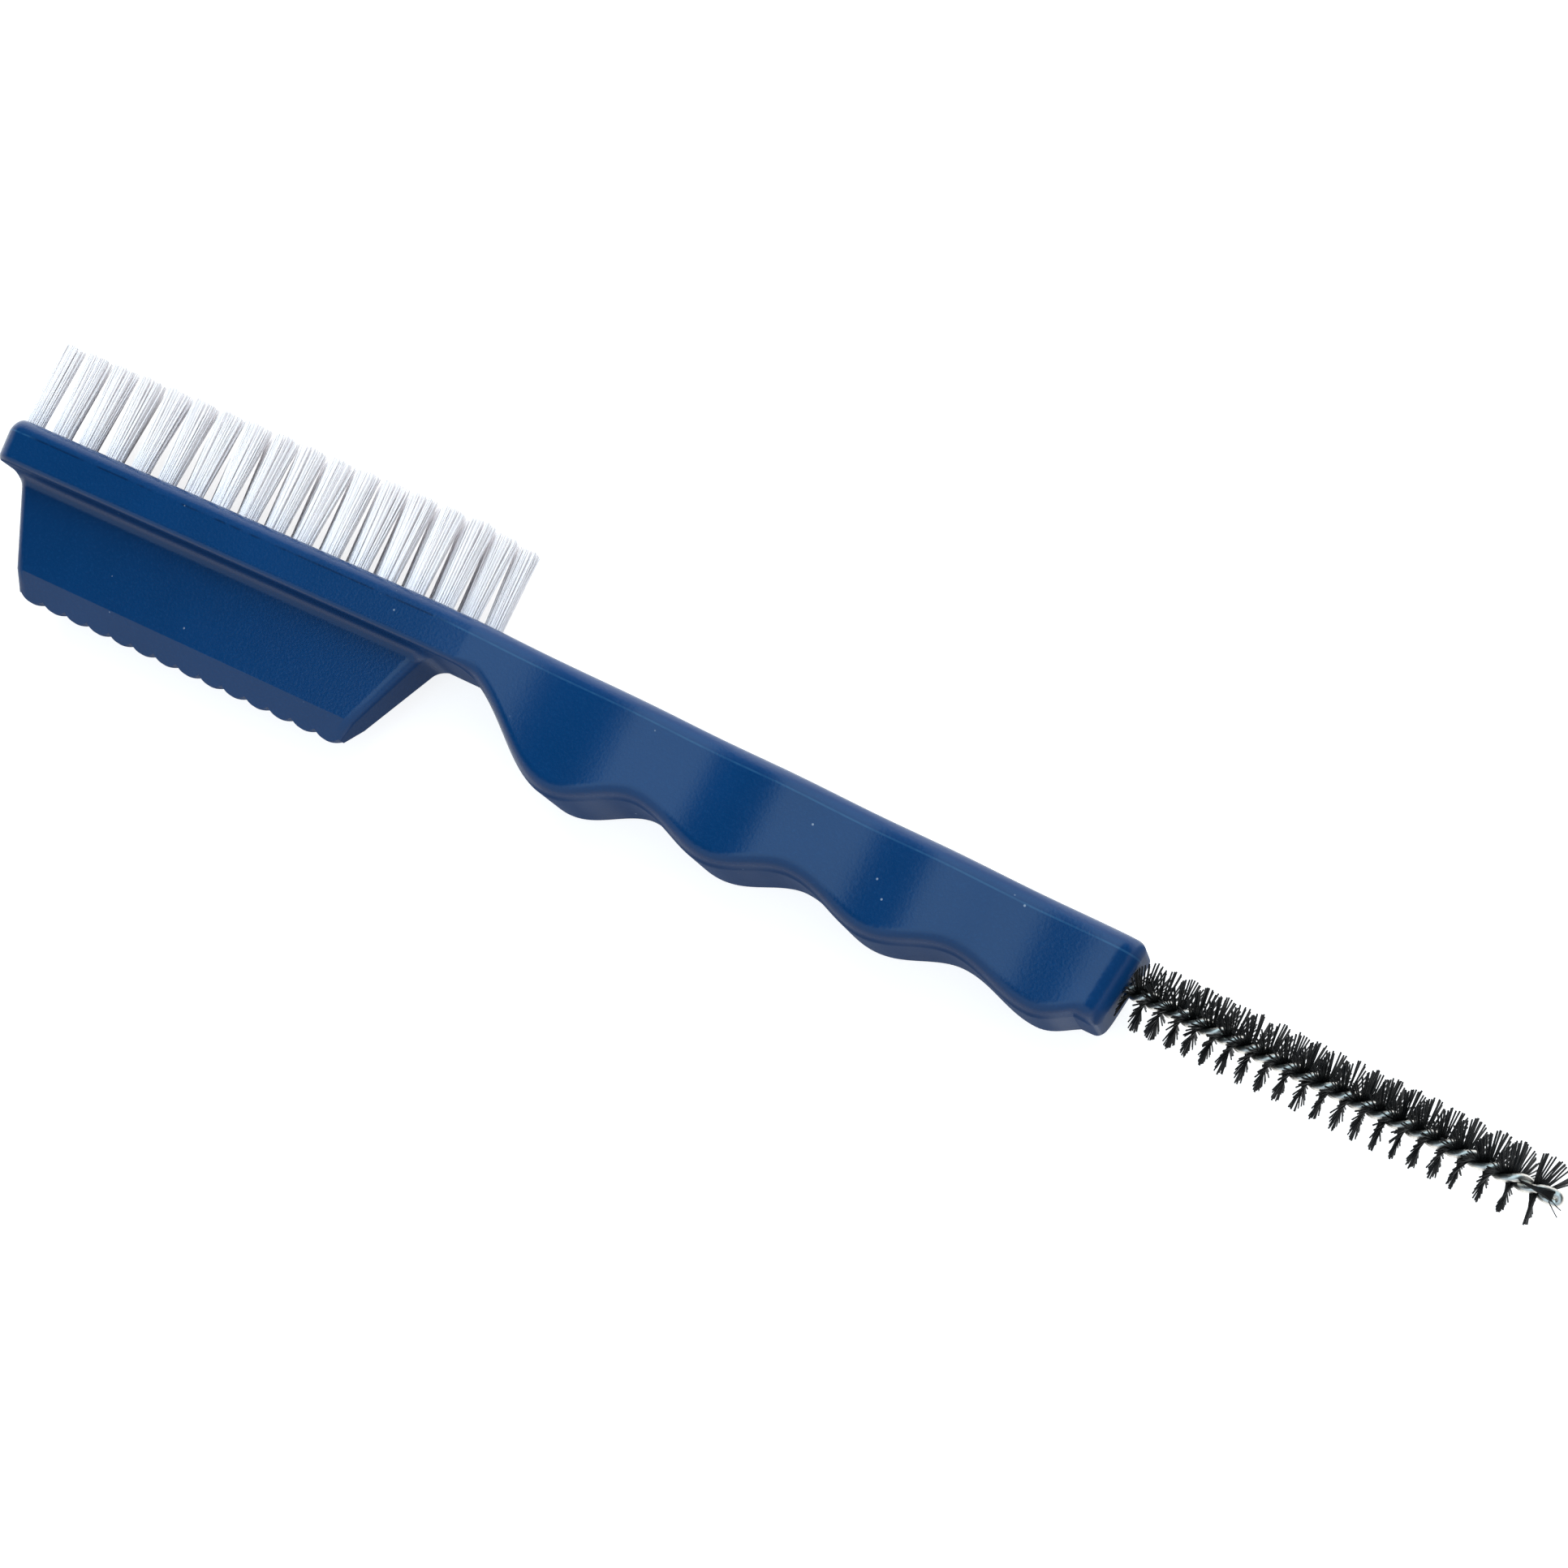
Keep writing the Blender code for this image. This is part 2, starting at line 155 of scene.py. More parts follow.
class Tone:
    # Wraps one socket of a material, so that sums and products are written as such
    def __init__(self, tree, socket):
        self.tree = tree
        self.socket = socket

    def put(self, kind, settings, values, out=0):
        node = self.tree.nodes.new(kind)
        for key, value in settings.items():
            setattr(node, key, value)
        for key, value in values.items():
            if isinstance(value, Tone):
                self.tree.links.new(value.socket, node.inputs[key])
            else:
                node.inputs[key].default_value = value
        return Tone(self.tree, node.outputs[out])

    def sum(self, operation, first, second):
        return self.put("ShaderNodeMath", {"operation": operation}, {0: first, 1: second})

    def __add__(self, other):
        return self.sum("ADD", self, other)

    __radd__ = __add__

    def __sub__(self, other):
        return self.sum("SUBTRACT", self, other)

    def __rsub__(self, other):
        return self.sum("SUBTRACT", other, self)

    def __mul__(self, other):
        return self.sum("MULTIPLY", self, other)

    __rmul__ = __mul__

    def least(self, other):
        return self.sum("MINIMUM", self, other)

    def part(self, axis):
        # One of the three numbers of a place
        return self.put("ShaderNodeSeparateXYZ", {}, {0: self}, "XYZ".index(axis))

    def above(self, edge, width):
        # 0 under the edge, 1 past it, with a soft step of this width
        settings = {"interpolation_type": "SMOOTHSTEP"}
        return self.put("ShaderNodeMapRange", settings, {0: self, 1: edge, 2: edge + width})

    def near(self, middle, width):
        # 1 at the middle, 0 a width away on either side
        away = self.sum("ABSOLUTE", self - middle, 0)
        return 1 - away.above(width / 2, width / 2)

    def blend(self, low, high):
        # Colours from low to high as this value goes from 0 to 1
        return self.put("ShaderNodeMix", {"data_type": "RGBA"}, {0: self, 6: low, 7: high}, 2)

    def to(self, socket):
        self.tree.links.new(self.socket, socket)


def newFinish(name, **constants):
    # A material whose constants sit on the shader's own sockets. Gives the place on the piece, too
    material = bpy.data.materials.new(name)
    material.use_nodes = True
    tree = material.node_tree
    shader = tree.nodes["Principled BSDF"]
    for key, value in constants.items():
        shader.inputs[key.replace("_", " ")].default_value = value
    place = Tone(tree, tree.nodes.new("ShaderNodeTexCoord").outputs["Object"])
    return material, shader, place


def noise(place, scale, detail=2.0, rough=0.5):
    values = {"Vector": place, "Scale": scale, "Detail": detail, "Roughness": rough}
    return place.put("ShaderNodeTexNoise", {}, values)


def underTop(place):
    # How far a place lies under the top line of the grip and of the tilted head
    back = (place.part("X") - joint.x).least(0)
    return joint.y + back * math.tan(headTilt) - place.part("Y")


# Moulded blue body

mouldSizes = {
    "thickness": 0.01492,
    "headLength": 0.07297,
    "headHeight": 0.0066,
    "headEndRadius": 0.0030,
    "headEndTopRadius": 0.0020,
    "headEndLowRadius": 0.0012,
    "headEndRake": math.radians(6),
    "topRadius": 0.0020,
    "topProfile": 0.42,
    "lowRadius": 0.0010,
    "gripLowRadius": 0.0022,
    "gripLength": 0.0985,
    "gripDepth": 0.0165,
    "gripEndRadius": 0.0032,
    "gripEndDrop": 0.0013,
    "gripEndShare": 0.655,
    "gripEndRake": math.radians(6),
    "neck": 0.0030,
    "firstLobe": 0.0225,
    "fingerPitch": 0.0224,
    "lobeShares": (1.0, 0.923, 0.887, 0.850),
    "valleyShares": (0.752, 0.722, 0.703),
    "scoop": 0.0011,
    "scoopShift": 0.0058,
    "headStations": (0.25, 0.5, 0.75, 1),
    "stepsPerFinger": 44,
    "endSteps": 12,
    "cornerSteps": 8,
    "partingDrop": 0.00217,
    "partingWidth": 0.00009,
    "partingRidge": 0.00002,
}

bladeSizes = {
    "topWidth": 0.0669,
    "edgeWidth": 0.0526,
    "centre": 0.0358,
    "height": 0.01558,
    "topThickness": 0.0082,
    "bevelThickness": 0.0052,
    "edgeThickness": 0.0008,
    "bevelHeight": 0.0034,
    "coveRadius": 0.0018,
    "cornerRadius": 0.0009,
    "scallops": 14,
    "scallopDepth": 0.0007,
    "coveSteps": 9,
    # The blade starts this far inside the head
    "inside": 0.002,
    "barSides": 192,
    "barLength": 0.03,
    "wasteThickness": 0.02,
    "wasteSpare": 0.003,
}


def easeShare(share):
    return (1 - math.cos(math.pi * share)) / 2


def gripDepth(along):
    # From the grip's top line down to its underside, at a place along it
    s = mouldSizes
    stops = [(s["neck"], s["headHeight"])]
    for i, share in enumerate(s["lobeShares"]):
        lobe = s["firstLobe"] + i * s["fingerPitch"]
        stops.append((lobe, s["gripDepth"] * share))
        if i < len(s["valleyShares"]):
            stops.append((lobe + s["fingerPitch"] / 2, s["gripDepth"] * s["valleyShares"][i]))
    if along <= stops[0][0]:
        return stops[0][1]
    for (low, deepLow), (high, deepHigh) in zip(stops, stops[1:]):
        if along <= high:
            return deepLow + (deepHigh - deepLow) * easeShare((along - low) / (high - low))
    last, deepLast = stops[-1]
    rise = (along - last) / (s["gripLength"] - last)
    deepEnd = s["gripDepth"] * s["gripEndShare"]
    return deepLast + (deepEnd - deepLast) * math.sin(rise * math.pi / 2) ** 2


def gripScoop(along):
    # The hollows at the sides stand a little nearer to the wire than the finger hollows underneath
    s = mouldSizes
    first = s["firstLobe"] + s["scoopShift"]
    if along <= 0:
        return 0
    if along < first:
        return s["scoop"] * math.sin(math.pi * along / first) ** 2
    return s["scoop"] * math.sin(math.pi * (along - first) / s["fingerPitch"]) ** 2


def roundFall(short, radius):
    # How far a quarter round of this radius has fallen where it is this short of its end
    if short >= radius:
        return 0
    return radius - math.sqrt(radius ** 2 - (radius - short) ** 2)


def makeSection(body, middle):
    # The section's corners are rounded, the top pair more than the low pair, and a fine ridge runs
    # where the two halves of the mould met
    s = mouldSizes
    half = s["thickness"] / 2
    editing(body)
    for side, radius, profile in ((1, s["topRadius"], s["topProfile"]), (-1, s["lowRadius"], 0.5)):
        pickPoints(lambda co: side * (co.y - middle.y) > s["headHeight"] * 0.49)
        bpy.ops.mesh.bevel(offset=radius, segments=s["cornerSteps"], profile=profile,
                           affect="VERTICES")
    line = joint.y - s["partingDrop"]
    for step in (-1, 0, 1):
        bpy.ops.mesh.select_all(action="SELECT")
        cut = (middle.x, line + step * s["partingWidth"], middle.z)
        bpy.ops.mesh.bisect(plane_co=cut, plane_no=(0, 1, 0))
    pickPoints(lambda co: abs(co.y - line) < s["partingWidth"] / 4)
    scaleBy(1, 1, (half + s["partingRidge"]) / half, middle)


def makeMould():
    s = mouldSizes
    startPiece("body")
    half = s["thickness"] / 2
    start = -s["headLength"]
    middle = joint + Vector((start, -s["headHeight"] / 2, 0))
    bpy.ops.mesh.primitive_plane_add(size=1, location=middle, rotation=(0, math.radians(90), 0))
    body = named("mouldedHandle")
    body.scale = (s["thickness"], s["headHeight"], 1)
    placeInMesh(body)
    makeSection(body, middle)
    # The head's end starts small and grows to the full section, each side in its own quarter round
    pickPoints(lambda co: True)
    at, top, low, wide = 0, 0, s["headHeight"], s["thickness"]
    for i in range(s["endSteps"] + 1):
        ahead = s["headEndRadius"] * (1 - math.cos(math.radians(90) * i / s["endSteps"]))
        if i > 0:
            drawOn(ahead - at, 0, 0)
        nowTop = roundFall(ahead, s["headEndTopRadius"])
        nowLow = s["headHeight"] - roundFall(ahead, s["headEndLowRadius"])
        nowWide = s["thickness"] - 2 * roundFall(ahead, s["headEndRadius"])
        scaleBy(1, (nowLow - nowTop) / (low - top), nowWide / wide, (0, joint.y - top, joint.z))
        slide(0, top - nowTop, 0)
        at, top, low, wide = ahead, nowTop, nowLow, nowWide
    radius = s["headEndRadius"]
    # The straight head, up to the neck
    for share in s["headStations"]:
        there = radius + (s["headLength"] - s["neck"] - radius) * share
        drawOn(there - at, 0, 0)
        at = there
    # The grip: every station moves the lower corners down to the lobes and draws both sides in
    stop = s["gripLength"] - s["gripEndRadius"]
    count = round((stop - s["neck"]) / s["fingerPitch"] * s["stepsPerFinger"])
    along, deep, side, corner = -s["neck"], s["headHeight"], half, s["lowRadius"]
    for i in range(count + 1):
        place = s["neck"] + (stop - s["neck"]) * i / count
        drawOn(place - along, 0, 0)
        low = joint.y - (s["topRadius"] + deep) / 2
        nowDeep, nowSide = gripDepth(place), half - gripScoop(place)
        spot = joint.x + place - s["fingerPitch"] / s["stepsPerFinger"] / 2
        pickPoints(lambda co: co.x > spot and co.y < low)
        slide(0, deep - nowDeep, 0)
        blend = min(1, (place - s["neck"]) / s["neck"])
        nowCorner = s["lowRadius"] + (s["gripLowRadius"] - s["lowRadius"]) * blend
        if nowCorner > corner:
            for hand in (1, -1):
                edge = (joint.x, joint.y - nowDeep, joint.z + hand * side)
                lower = low + deep - nowDeep
                pickPoints(lambda co: co.x > spot and co.y < lower and hand * (co.z - joint.z) > 0)
                scaleBy(1, nowCorner / corner, nowCorner / corner, edge)
        pickPoints(lambda co: co.x > spot)
        scaleBy(1, 1, nowSide / side, joint)
        along, deep, side, corner = place, nowDeep, nowSide, nowCorner
    # The end: wide rounds at the sides, tighter ones above and below
    centre = Vector((0, joint.y - deep / 2, joint.z))
    lastInset, lastDrop = 0, 0
    for i in range(1, s["endSteps"] + 1):
        place = stop + s["gripEndRadius"] * math.sin(math.radians(90) * i / s["endSteps"])
        inset = roundFall(s["gripLength"] - place, s["gripEndRadius"])
        drop = roundFall(s["gripLength"] - place, s["gripEndDrop"])
        drawOn(place - along, 0, 0)
        lower = (deep - 2 * drop) / (deep - 2 * lastDrop)
        scaleBy(1, lower, (side - inset) / (side - lastInset), centre)
        along, lastInset, lastDrop = place, inset, drop
    bpy.ops.mesh.select_all(action="SELECT")
    bpy.ops.mesh.normals_make_consistent(inside=False)
    bpy.ops.object.mode_set(mode="OBJECT")
    leanEnds(body)
    return body


def leanEnds(body):
    # Both end faces lean out at their tops
    s = mouldSizes
    lastLobe = s["firstLobe"] + s["fingerPitch"] * (len(s["lobeShares"]) - 1)
    headEnd = joint.x - s["headLength"] + s["headEndRadius"] * 1.01
    for point in body.data.vertices:
        beyond = point.co.x - joint.x - lastLobe
        if beyond > 0:
            share = easeShare(min(1, beyond / (s["gripLength"] - lastLobe)))
            point.co.x += share * math.tan(s["gripEndRake"]) * (point.co.y - stemFoot.y)
        elif point.co.x < headEnd:
            point.co.x += (joint.y - point.co.y) * math.tan(s["headEndRake"])


def makeBlade():
    # Drawn down from inside the head: a cove, a tapering blade and its bevelled edge
    s = bladeSizes
    startPiece("scraper blade")
    under = joint.y - mouldSizes["headHeight"]
    centre = Vector((joint.x - s["centre"], under + s["inside"], joint.z))
    bpy.ops.mesh.primitive_plane_add(size=1, location=centre, rotation=(math.radians(90), 0, 0))
    blade = named("scraperBlade")

    def spans(drop, flare):
        share = min(1, max(0, drop / s["height"]))
        wide = s["topWidth"] + (s["edgeWidth"] - s["topWidth"]) * share + 2 * flare
        straight = s["height"] - s["bevelHeight"]
        if drop <= straight:
            part = max(0, drop) / straight
            thick = s["topThickness"] + (s["bevelThickness"] - s["topThickness"]) * part
        else:
            part = (drop - straight) / s["bevelHeight"]
            thick = s["bevelThickness"] + (s["edgeThickness"] - s["bevelThickness"]) * part
        return wide, thick + 2 * flare

    radius = s["coveRadius"]
    wide, thick = spans(0, radius)
    blade.scale = (wide, thick, 1)
    placeInMesh(blade)
    editing(blade)
    pickPoints(lambda co: True)
    corner = s["cornerRadius"] + radius / 2
    bpy.ops.mesh.bevel(offset=corner, segments=mouldSizes["cornerSteps"], affect="VERTICES")
    stations = [(0, radius)]
    for i in range(1, s["coveSteps"] + 1):
        turn = math.radians(90) * i / s["coveSteps"]
        stations.append((radius * (1 - math.cos(turn)), radius * (1 - math.sin(turn))))
    straight = s["height"] - s["bevelHeight"]
    stations += [(straight * share, 0) for share in (0.4, 0.7, 1)]
    stations += [(straight + s["bevelHeight"] * share, 0) for share in (0.5, 1)]
    pickPoints(lambda co: True)
    at = -s["inside"]
    for drop, flare in stations:
        drawOn(0, at - drop, 0)
        nowWide, nowThick = spans(drop, flare)
        scaleBy(nowWide / wide, 1, nowThick / thick, centre)
        at, wide, thick = drop, nowWide, nowThick
    bpy.ops.mesh.select_all(action="SELECT")
    bpy.ops.mesh.normals_make_consistent(inside=False)
    bpy.ops.object.mode_set(mode="OBJECT")
    carve(blade, makeScallopWaste(under), "DIFFERENCE")
    return blade


def makeScallopWaste(under):
    # The wavy edge: a block under it, less a round bar for each wave, is the waste
    s = bladeSizes
    pitch = s["edgeWidth"] / s["scallops"]
    bar = (pitch ** 2 / 4 + s["scallopDepth"] ** 2) / (2 * s["scallopDepth"])
    edge = under - s["height"]
    startPiece("wavy edge")
    bars = []
    for i in range(s["scallops"]):
        spot = (joint.x - s["centre"] + pitch * (i + 0.5 - s["scallops"] / 2), edge + bar, joint.z)
        bpy.ops.mesh.primitive_cylinder_add(vertices=s["barSides"], radius=bar,
                                            depth=s["barLength"], location=spot)
        bars.append(bpy.context.object)
    bars = joinAll(bars, "scallopBars")
    block = (s["edgeWidth"] + 2 * s["wasteSpare"], s["scallopDepth"] + s["wasteSpare"],
             s["wasteThickness"])
    spot = (joint.x - s["centre"], edge + s["scallopDepth"] - block[1] / 2, joint.z)
    bpy.ops.mesh.primitive_cube_add(size=1, location=spot, scale=block)
    waste = named("scallopWaste")
    carve(waste, bars, "DIFFERENCE", use_self=True)
    return waste


tuftSizes = {
    "columns": 16,
    "pitch": 0.00449,
    "rowGap": 0.0033,
    # The rows behind stand this much further on, row by row, so that the columns clear
    "rowShift": 0.00025,
    "margin": 0.0020,
    "hole": 0.0027,
    "holeDepth": 0.0042,
    "holeSides": 28,
    # The tools that make the holes stand this far out of the head
    "over": 0.002,
    "length": 0.01246,
}


def tuftPlaces():
    s = tuftSizes
    for row, name in enumerate(("front", "middle", "back")):
        for column in range(s["columns"]):
            along = -mouldSizes["headLength"] + s["margin"] + s["pitch"] * (column + row / 2)
            along += s["rowShift"] * row
            yield f"tuft_{name}_{column + 1:02d}", column, along, s["rowGap"] * (1 - row)


def makeHoles():
    s = tuftSizes
    startPiece("tuft holes")
    tools = []
    for _, _, along, side in tuftPlaces():
        spot = joint + Vector((along, (s["over"] - s["holeDepth"]) / 2, side))
        bpy.ops.mesh.primitive_cylinder_add(vertices=s["holeSides"], radius=s["hole"] / 2,
                                            depth=s["over"] + s["holeDepth"], location=spot,
                                            rotation=(math.radians(90), 0, 0))
        tools.append(bpy.context.object)
    return joinAll(tools, "tuftHoles")


def makeHandle():
    body = makeMould()
    carve(body, makeBlade(), "UNION")
    carve(body, makeHoles(), "DIFFERENCE")
    # The whole head tilts about the joint
    turn = Matrix.Rotation(headTilt, 3, "Z")
    for point in body.data.vertices:
        if point.co.x < joint.x:
            point.co = joint + turn @ (point.co - joint)
    startPiece("wire bore")
    s = stemSizes
    bpy.ops.mesh.primitive_cylinder_add(vertices=s["boreSides"], radius=s["bore"] / 2,
                                        depth=s["boreLength"],
                                        location=stemFoot - Vector((s["boreBack"], 0, 0)),
                                        rotation=(0, math.radians(90), 0))
    carve(body, named("wireBore"), "DIFFERENCE")
    pickOnly(body)
    bpy.ops.object.shade_smooth_by_angle(angle=math.radians(24))
    finishModifier(body, "WEIGHTED_NORMAL", keep_sharp=True, weight=60)
    return body


blueTones = {
    "deep": (0.0003, 0.0295, 0.108, 1),
    "bright": (0.0005, 0.033, 0.121, 1),
    "grain": (0.0015, 0.048, 0.158, 1),
    # Pale painted highlight along the parting line
    "paintedLineLight": (0.020, 0.090, 0.200, 1),
    # Dark painted shadow line along the parting line
    "paintedLineShadow": (0.0003, 0.013, 0.050, 1),
    "dust": (0.32, 0.40, 0.50, 1),
    "lineWidth": 0.00016,
    "bumpHeight": 0.00003,
}


def bluePlastic():
    s = blueTones
    material, shader, place = newFinish("mouldedBlue", Specular_IOR_Level=0.5)
    grain = noise(place, 2600, 2, 0.6)
    mottle = noise(place, 260, 4, 0.6)
    cloud = noise(place, 45, 3, 0.5)
    tint = cloud.above(0.35, 0.3).blend(s["deep"], s["bright"])
    colour = (grain.above(0.5, 0.25) * 0.3).blend(tint, s["grain"])
    # The line where the two halves of the mould met, painted in light and shade: a pale painted
    # highlight on the grip and at the head's end, a dark painted shadow line on the rest of the
    # head, both broken into patches
    line = underTop(place).near(mouldSizes["partingDrop"], s["lineWidth"])
    paintedLineLight = noise(place, 210, 3, 0.6).above(0.42, 0.12)
    onGrip = place.part("X").above(joint.x - 0.004, 0.006)
    atEnd = 1 - place.part("X").above(joint.x - mouldSizes["headLength"] + 0.004, 0.003)
    # Painted highlight on the line along the grip, then in patches at the head's end
    colour = (line * (0.35 + 0.2 * paintedLineLight) * onGrip).blend(colour, s["paintedLineLight"])
    colour = (line * paintedLineLight * atEnd * 0.6).blend(colour, s["paintedLineLight"])
    # Painted shadow line, in patches, along the middle of the head
    colour = (line * paintedLineLight * (1 - onGrip - atEnd) * 0.7).blend(colour, s["paintedLineShadow"])
    # Pale specks of dust, in a few clusters
    cells = place.put("ShaderNodeTexVoronoi", {}, {"Vector": place, "Scale": 480})
    spots = 1 - cells.above(0.045, 0.05)
    cluster = noise(place, 120, 1).above(0.57, 0.03)
    colour = (spots * cluster * 0.6).blend(colour, s["dust"])
    colour.to(shader.inputs["Base Color"])
    # The underside and the ends are duller
    facing = Tone(material.node_tree, place.socket.node.outputs["Normal"])
    under = (facing.part("Y") * -1).above(0.65, 0.30)
    ends = facing.part("X").above(0.5, 0.3)
    rough = 0.15 + 0.09 * grain + 0.03 * mottle + 0.35 * under
    rough.to(shader.inputs["Roughness"])
    values = {"Strength": 0.8, "Distance": s["bumpHeight"], "Height": grain + 0.4 * mottle}
    bump = place.put("ShaderNodeBump", {}, values)
    bump.to(shader.inputs["Normal"])
    values = {"Base Color": colour, "Roughness": 0.8, "Specular IOR Level": 0.08, "Normal": bump}
    dull = place.put("ShaderNodeBsdfPrincipled", {}, values)
    glossy = Tone(material.node_tree, shader.outputs[0])
    share = under * 0.8 + ends * 0.85
    mixed = place.put("ShaderNodeMixShader", {}, {0: share, 1: glossy, 2: dull})
    mixed.to(material.node_tree.nodes["Material Output"].inputs["Surface"])
    return material


# Twisted wire

stemSizes = {
    "wire": 0.00104,
    "width": 0.00212,
    "reach": 0.0554,
    "seat": 0.0135,
    "drop": 0.0053,
    "step": 0.0003,
    # Places along the wire and the half turns made up to there, left-handed
    "halfTurns": ((0, 0), (0.0162, 7), (0.0432, 18), (0.04654, 19), (0.05195, 21), (0.0534, 21.4)),
    "bendSteps": 12,
    "bendBulge": 0.15,
    "bore": 0.00274,
    "boreSides": 40,
    "boreLength": 0.016,
    # The middle of the tool for the bore lies this far inside the grip
    "boreBack": 0.006,
}
stemFoot = joint + Vector((mouldSizes["gripLength"], -stemSizes["drop"], 0))

handle = makeHandle()
handle.data.materials.clear()
handle.data.materials.append(bluePlastic())
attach(handle, "root")
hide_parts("handle")


def twistAngle(along):
    stops = stemSizes["halfTurns"]
    made = stops[-1][1] if along > 0 else 0
    for (low, turnsLow), (high, turnsHigh) in zip(stops, stops[1:]):
        if low < along <= high:
            made = turnsLow + (turnsHigh - turnsLow) * (along - low) / (high - low)
    return math.pi / 2 - math.pi * made


def makeStem():
    s = stemSizes
    startPiece("twisted wire")
    radius = (s["width"] - s["wire"]) / 2
    end = s["halfTurns"][-1][0]
    count = round(end / s["step"])
    leg = []
    for along in [-s["seat"]] + [end * i / count for i in range(count + 1)]:
        angle = twistAngle(along)
        leg.append(Vector((along, radius * math.cos(angle), radius * math.sin(angle))))
    nose = s["reach"] - s["wire"] / 2 - radius
    across = Vector((0, leg[-1].y, leg[-1].z))
    bend = []
    for i in range(s["bendSteps"] + 1):
        angle = math.pi * i / s["bendSteps"]
        ahead = Vector((nose + radius * math.sin(angle), 0, 0))
        bend.append(ahead + across * (math.cos(angle) * (1 + s["bendBulge"] * math.sin(angle))))
    other = [Vector((point.x, -point.y, -point.z)) for point in reversed(leg)]
    bpy.ops.curve.primitive_nurbs_path_add(location=(0, 0, 0))
    curve = named("twistedWire").data
    curve.splines.clear()
    path = curve.splines.new("POLY")
    points = leg + bend + other
    path.points.add(len(points) - 1)
    for slot, point in zip(path.points, points):
        slot.co = (*(stemFoot + point), 1)
    curve.bevel_depth = s["wire"] / 2
    curve.bevel_resolution = 4
    curve.use_fill_caps = True
    bpy.ops.object.convert(target="MESH")
    stem = named("twistedWire")
    bpy.ops.object.shade_smooth_by_angle(angle=math.radians(60))
    return stem


def brightWire():
    material, shader, place = newFinish("galvanisedWire", Metallic=1.0)
    drawn = noise(place, 900, 3, 0.6)
    spangle = noise(place, 2600, 2)
    tone = (0.6 * drawn + 0.4 * spangle).above(0.3, 0.4)
    tone.blend((0.62, 0.59, 0.54, 1), (0.95, 0.91, 0.84, 1)).to(shader.inputs["Base Color"])
    (0.20 + 0.22 * drawn).to(shader.inputs["Roughness"])
    values = {"Strength": 0.3, "Distance": 0.00003, "Height": spangle}
    place.put("ShaderNodeBump", {}, values).to(shader.inputs["Normal"])
    return material


stem = makeStem()
stem.data.materials.clear()
stem.data.materials.append(brightWire())
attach(stem, "root")
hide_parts("stem_wire")


# White tufts

strandSizes = {
    "thickness": 0.00022,
    "sides": 5,
    "perTuft": 120,
    "footRadius": 0.00122,
    "tipSpreads": (1.20, 1.36, 1.40, 1.44, 1.48, 1.52, 1.56, 1.42),
    "spreadStray": 0.06,
    "lean": 0.007,
    "tipStep": 0.00020,
    "bow": 0.00008,
    # The tufts lean more and more towards the head's end, up to this at the grip, and stray from it
    "lastLean": math.radians(1.8),
    "stray": 0.007,
    "cuts": (0.35, 0.7),
}


def makeStrand():
    # One filament, straight up, in three stretches
    s = strandSizes
    startPiece("one filament")
    sunk = tuftSizes["holeDepth"] * 0.9
    tall = tuftSizes["length"] + sunk
    spot = (0, tall / 2 - sunk, 0)
    bpy.ops.mesh.primitive_cylinder_add(vertices=s["sides"], radius=s["thickness"] / 2, depth=tall,
                                        location=spot, rotation=(math.radians(-90), 0, 0))
    strand = named("strand")
    placeInMesh(strand)
    editing(strand)
    for share in s["cuts"]:
        bpy.ops.mesh.select_all(action="SELECT")
        bpy.ops.mesh.bisect(plane_co=(0, tall * share - sunk, 0), plane_no=(0, 1, 0))
    bpy.ops.object.mode_set(mode="OBJECT")
    pickOnly(strand)
    bpy.ops.object.shade_smooth_by_angle(angle=math.radians(80))
    return strand


def makeTuft(strand, spread, draw):
    s = strandSizes
    top = tuftSizes["length"]
    goldenAngle = math.radians(137.5)
    copies = []
    for i in range(s["perTuft"]):
        piece = dropInScene("strandCopy", strand.data.copy())
        # The feet fill the round hole evenly, as seeds do in a sunflower
        radius = s["footRadius"] * math.sqrt((i + 0.5) / s["perTuft"])
        turn = i * goldenAngle + draw.uniform(-0.2, 0.2)
        foot = Vector((radius * math.cos(turn), 0, radius * math.sin(turn)))
        tip = foot * (spread + draw.uniform(-s["spreadStray"], s["spreadStray"]))
        tip += Vector((draw.gauss(0, s["lean"]), 0, draw.gauss(0, s["lean"]))) * top
        bow = Vector((draw.uniform(-1, 1), 0, draw.uniform(-1, 1))) * s["bow"]
        lift = draw.uniform(-s["tipStep"], 0)
        spin = Matrix.Rotation(draw.uniform(0, math.pi), 3, "Y")
        for point in piece.data.vertices:
            share = max(0, point.co.y / top)
            place = spin @ point.co + foot.lerp(tip, share) + bow * 4 * share * (1 - min(1, share))
            if share > 0.98:
                place.y += lift
            point.co = place
        markShade(piece.data, [draw.random()] * len(piece.data.vertices))
        copies.append(piece)
    return joinAll(copies, "tuftKind")


def whiteNylon():
    material, shader, place = newFinish("whiteNylon", Specular_IOR_Level=0.4)
    shade = place.put("ShaderNodeAttribute", {"attribute_name": "strandShade"}, {}, 2)
    stretched = place.put("ShaderNodeMapping", {}, {"Vector": place, "Scale": (3000, 90, 3000)})
    streak = noise(stretched, 1, 2)
    value = 0.7 * shade + 0.3 * streak
    colour = value.above(0.1, 0.8).blend((0.935, 0.915, 0.93, 1), (0.985, 0.965, 0.968, 1))
    # Painted shade: bluish grey between the filaments down by the holes, where less light reaches
    foot = underTop(place).above(-0.0045, 0.0045)
    colour = (foot * 0.35).blend(colour, (0.78, 0.83, 0.91, 1))
    colour.to(shader.inputs["Base Color"])
    (0.30 + 0.15 * streak).to(shader.inputs["Roughness"])
    return material


